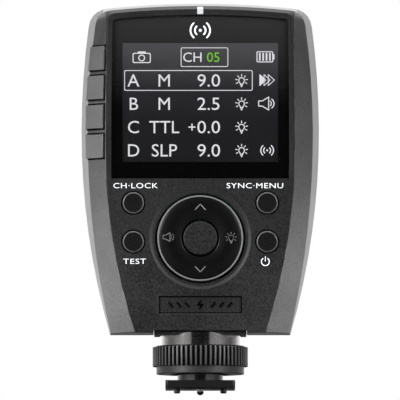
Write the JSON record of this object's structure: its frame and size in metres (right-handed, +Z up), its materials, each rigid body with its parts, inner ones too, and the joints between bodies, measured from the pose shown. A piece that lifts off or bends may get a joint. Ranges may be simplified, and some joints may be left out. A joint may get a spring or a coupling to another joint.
{
  "type": "wireless flash trigger",
  "caption": "Camera-top radio flash trigger: arched housing with a colour screen, rocker and push buttons, folding on a hinge over a screw-lock hot-shoe foot.",
  "frame": {"origin": "centre of the hot-shoe foot's underside", "axes": "+Z up from the foot through the housing; the screen faces -Y; +Y is the way the camera's shoe leaves the foot; +X is to the right of someone facing the screen"},
  "size_m": [0.0634, 0.0254, 0.1048],
  "materials": {
    "black_shell": "fine grained satin",
    "silver_trim": "silver-grey painted satin",
    "silver_cap": "silver painted satin",
    "key_grey": "silver-grey satin",
    "key_black": "satin black",
    "glass_black": "gloss, black printed border",
    "clear_light": "clear light pipe",
    "display": "display panel",
    "white_plastic": "matt",
    "board": "circuit board",
    "cell": "foil pouch",
    "bright_metal": "polished",
    "dark_metal": "dark satin plated",
    "black_metal": "black anodised satin",
    "steel": "plain",
    "spring_brass": "plated"
  },
  "bodies": {
    "shoe": {"foot_plate": "dark_metal", "contact_block": "key_black", "foot_screws": "steel", "foot_neck": "bright_metal", "thread_post": "bright_metal", "neck_collar": "bright_metal", "hinge_block": "black_shell", "hinge_pin": "steel", "hinge_washers": "spring_brass", "contact_spring": "spring_brass"},
    "centre_contact": {"centre_contact": "bright_metal"},
    "side_contact_left": {"side_contact_left": "bright_metal"},
    "side_contact_right": {"side_contact_right": "bright_metal"},
    "pressure_plate": {"pressure_plate": "black_metal"},
    "lock_ring": {"lock_ring": "black_metal"},
    "housing": {"front_cover": "black_shell", "side_trim_left": "silver_trim", "side_trim_right": "silver_trim", "top_cap": "silver_cap", "back_shell": "black_shell", "hinge_bushes": "white_plastic", "screen_window": "glass_black", "status_light": "clear_light", "lcd_panel": "display", "lcd_frame": "white_plastic", "main_board": "board", "key_board": "board", "side_key_board": "board", "tact_switches": "steel", "battery": "cell", "antenna": "spring_brass", "buzzer": "key_black", "usb_port": "steel", "sync_jack": "key_black", "housing_screws": "steel", "board_screws": "steel"},
    "rocker_pivot_ring": {"rocker_pivot_ring": "key_black"},
    "rocker": {"rocker": "key_black", "rocker_rim": "bright_metal"},
    "centre_button": {"centre_button": "key_black"},
    "button_lock": {"button_lock": "key_black"},
    "button_menu": {"button_menu": "key_black"},
    "button_test": {"button_test": "key_black"},
    "button_power": {"button_power": "key_black"},
    "group_key_a": {"group_key_a": "key_grey"},
    "group_key_b": {"group_key_b": "key_grey"},
    "group_key_c": {"group_key_c": "key_grey"},
    "group_key_d": {"group_key_d": "key_grey"}
  },
  "joints": [
    {"name": "housing_fold", "type": "hinge", "parent": "shoe", "child": "housing", "pos_m": [0, 0.0015, 0.021], "axis": [-1, 0, 0], "range_deg": [0, 90]},
    {"name": "lock_ring_travel", "type": "slide", "parent": "shoe", "child": "pressure_plate", "axis": [0, 0, 1], "range_m": [-0.0016, 0.0016]},
    {"name": "lock_ring_turn", "type": "hinge", "parent": "pressure_plate", "child": "lock_ring", "pos_m": [0, 0, 0.008], "axis": [0, 0, 1], "range_deg": [-720, 720]},
    {"name": "centre_contact_press", "type": "slide", "parent": "shoe", "child": "centre_contact", "axis": [0, 0, 1], "range_m": [0, 0.0011], "stiffness_N_per_m": 400, "deforming": ["contact_spring"]},
    {"name": "side_contact_left_press", "type": "slide", "parent": "shoe", "child": "side_contact_left", "axis": [0, 0, 1], "range_m": [0, 0.0005], "stiffness_N_per_m": 400},
    {"name": "side_contact_right_press", "type": "slide", "parent": "shoe", "child": "side_contact_right", "axis": [0, 0, 1], "range_m": [0, 0.0005], "stiffness_N_per_m": 400},
    {"name": "rocker_up_down", "type": "hinge", "parent": "housing", "child": "rocker_pivot_ring", "pos_m": [0, -0.0102, 0.0397], "axis": [1, 0, 0], "range_deg": [-2.4, 2.4], "stiffness_Nm_per_rad": 0.4},
    {"name": "rocker_left_right", "type": "hinge", "parent": "rocker_pivot_ring", "child": "rocker", "pos_m": [0, -0.0102, 0.0397], "axis": [0, 0, 1], "range_deg": [-2.4, 2.4], "stiffness_Nm_per_rad": 0.4},
    {"name": "centre_button_press", "type": "slide", "parent": "housing", "child": "centre_button", "axis": [0, 1, 0], "range_m": [0, 0.0005], "stiffness_N_per_m": 800},
    {"name": "button_lock_press", "type": "slide", "parent": "housing", "child": "button_lock", "axis": [0, 1, 0], "range_m": [0, 0.0005], "stiffness_N_per_m": 800},
    {"name": "button_menu_press", "type": "slide", "parent": "housing", "child": "button_menu", "axis": [0, 1, 0], "range_m": [0, 0.0005], "stiffness_N_per_m": 800},
    {"name": "button_test_press", "type": "slide", "parent": "housing", "child": "button_test", "axis": [0, 1, 0], "range_m": [0, 0.0005], "stiffness_N_per_m": 800},
    {"name": "button_power_press", "type": "slide", "parent": "housing", "child": "button_power", "axis": [0, 1, 0], "range_m": [0, 0.0005], "stiffness_N_per_m": 800},
    {"name": "group_key_a_press", "type": "slide", "parent": "housing", "child": "group_key_a", "axis": [0.729, 0.6845, 0], "range_m": [0, 0.0005], "stiffness_N_per_m": 800},
    {"name": "group_key_b_press", "type": "slide", "parent": "housing", "child": "group_key_b", "axis": [0.6929, 0.7211, 0], "range_m": [0, 0.0005], "stiffness_N_per_m": 800},
    {"name": "group_key_c_press", "type": "slide", "parent": "housing", "child": "group_key_c", "axis": [0.6764, 0.7365, 0], "range_m": [0, 0.0005], "stiffness_N_per_m": 800},
    {"name": "group_key_d_press", "type": "slide", "parent": "housing", "child": "group_key_d", "axis": [0.6779, 0.7352, 0], "range_m": [0, 0.0005], "stiffness_N_per_m": 800}
  ],
  "couplings": [
    {"joint": "lock_ring_travel", "follows": "lock_ring_turn", "m_per_rad": 0.00012732}
  ]
}
